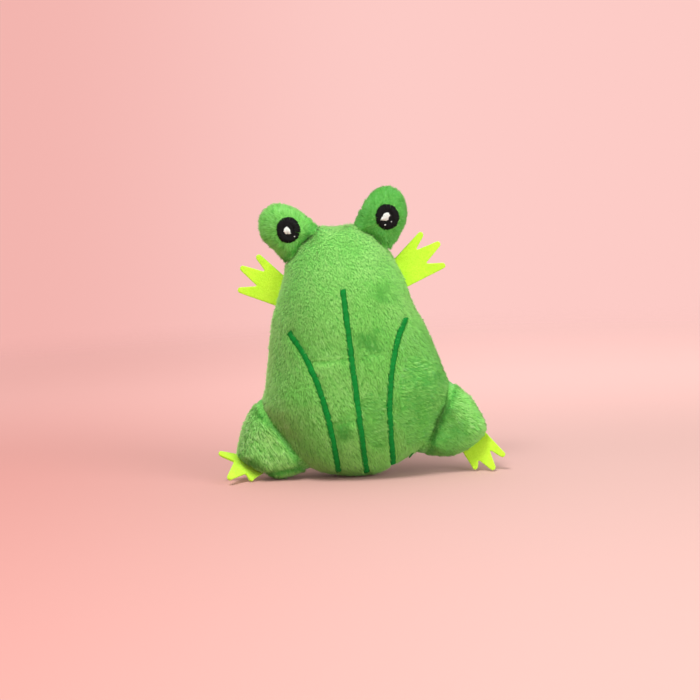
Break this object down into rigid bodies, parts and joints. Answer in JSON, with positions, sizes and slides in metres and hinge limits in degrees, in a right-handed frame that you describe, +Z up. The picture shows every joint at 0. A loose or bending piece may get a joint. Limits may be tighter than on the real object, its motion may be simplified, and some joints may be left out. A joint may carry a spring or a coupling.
{
  "type": "catnip cat toy",
  "caption": "Stuffed plush frog cat toy with catnip inside, embroidered back lines and eyes, stuffed legs and felt hands and feet.",
  "frame": {"origin": "on the surface that the toy stands on, under the middle of its bounding box", "axes": "+Z up towards the head, -Y towards the frog's back with the embroidered lines, -X towards the frog's left; the toy leans 4.4 degrees to its left"},
  "size_m": [0.1144, 0.045, 0.1149],
  "materials": {
    "plush": "short-pile minky plush, leaf green",
    "wadding": "white polyester fibre",
    "sachet_cloth": "thin unbleached filter cloth",
    "catnip": "dried chopped leaf",
    "felt": "matt lime green felt",
    "green_thread": "dark green satin-stitch thread",
    "black_thread": "black satin-stitch thread",
    "white_thread": "white satin-stitch thread"
  },
  "bodies": {
    "torso": {"back_panel": "plush", "belly_panel": "plush", "back_wadding": "wadding", "belly_wadding": "wadding", "sachet_back": "sachet_cloth", "sachet_belly": "sachet_cloth", "catnip": "catnip", "middle_back_line": "green_thread", "left_back_line": "green_thread", "right_back_line": "green_thread"},
    "left_eye_pod": {"left_pod_back": "plush", "left_pod_front": "plush", "left_pod_wadding": "wadding", "left_eye": "black_thread", "left_eye_glint": "white_thread"},
    "right_eye_pod": {"right_pod_back": "plush", "right_pod_front": "plush", "right_pod_wadding": "wadding", "right_eye": "black_thread", "right_eye_glint": "white_thread"},
    "left_arm": {"left_hand": "felt"},
    "right_arm": {"right_hand": "felt"},
    "left_leg": {"left_leg_back": "plush", "left_leg_front": "plush", "left_leg_wadding": "wadding"},
    "right_leg": {"right_leg_back": "plush", "right_leg_front": "plush", "right_leg_wadding": "wadding"},
    "left_toes": {"left_foot": "felt"},
    "right_toes": {"right_foot": "felt"}
  },
  "joints": [
    {"name": "left_eye_pod_flex", "type": "hinge", "parent": "torso", "child": "left_eye_pod", "pos_m": [-0.02155, 0.00045, 0.09456], "axis": [-0.6788, 0, -0.7343], "range_deg": [-25, 25], "stiffness_Nm_per_rad": 0.01},
    {"name": "right_eye_pod_flex", "type": "hinge", "parent": "torso", "child": "right_eye_pod", "pos_m": [0.00941, 0.00045, 0.09695], "axis": [-0.7832, 0, 0.6218], "range_deg": [-25, 25], "stiffness_Nm_per_rad": 0.01},
    {"name": "left_hand_flex", "type": "hinge", "parent": "torso", "child": "left_arm", "pos_m": [-0.02932, 0.00045, 0.07476], "axis": [-0.2276, 0, -0.9738], "range_deg": [-55, 55], "stiffness_Nm_per_rad": 0.002},
    {"name": "right_hand_flex", "type": "hinge", "parent": "torso", "child": "right_arm", "pos_m": [0.01939, 0.00045, 0.08041], "axis": [-0.3824, 0, 0.924], "range_deg": [-55, 55], "stiffness_Nm_per_rad": 0.002},
    {"name": "left_leg_flex", "type": "hinge", "parent": "torso", "child": "left_leg", "pos_m": [-0.03276, 0.00045, 0.01555], "axis": [0.5476, 0, -0.8368], "range_deg": [-20, 20], "stiffness_Nm_per_rad": 0.02},
    {"name": "right_leg_flex", "type": "hinge", "parent": "torso", "child": "right_leg", "pos_m": [0.03235, 0.00045, 0.02017], "axis": [0.4282, 0, 0.9037], "range_deg": [-20, 20], "stiffness_Nm_per_rad": 0.02},
    {"name": "left_foot_flex", "type": "hinge", "parent": "left_leg", "child": "left_toes", "pos_m": [-0.04519, 0.00045, 0.0057], "axis": [0.7864, 0, -0.6178], "range_deg": [0, 96], "stiffness_Nm_per_rad": 0.002},
    {"name": "right_foot_flex", "type": "hinge", "parent": "right_leg", "child": "right_toes", "pos_m": [0.04577, 0.00045, 0.01044], "axis": [0.7419, 0, 0.6706], "range_deg": [-35, 79], "stiffness_Nm_per_rad": 0.002}
  ]
}
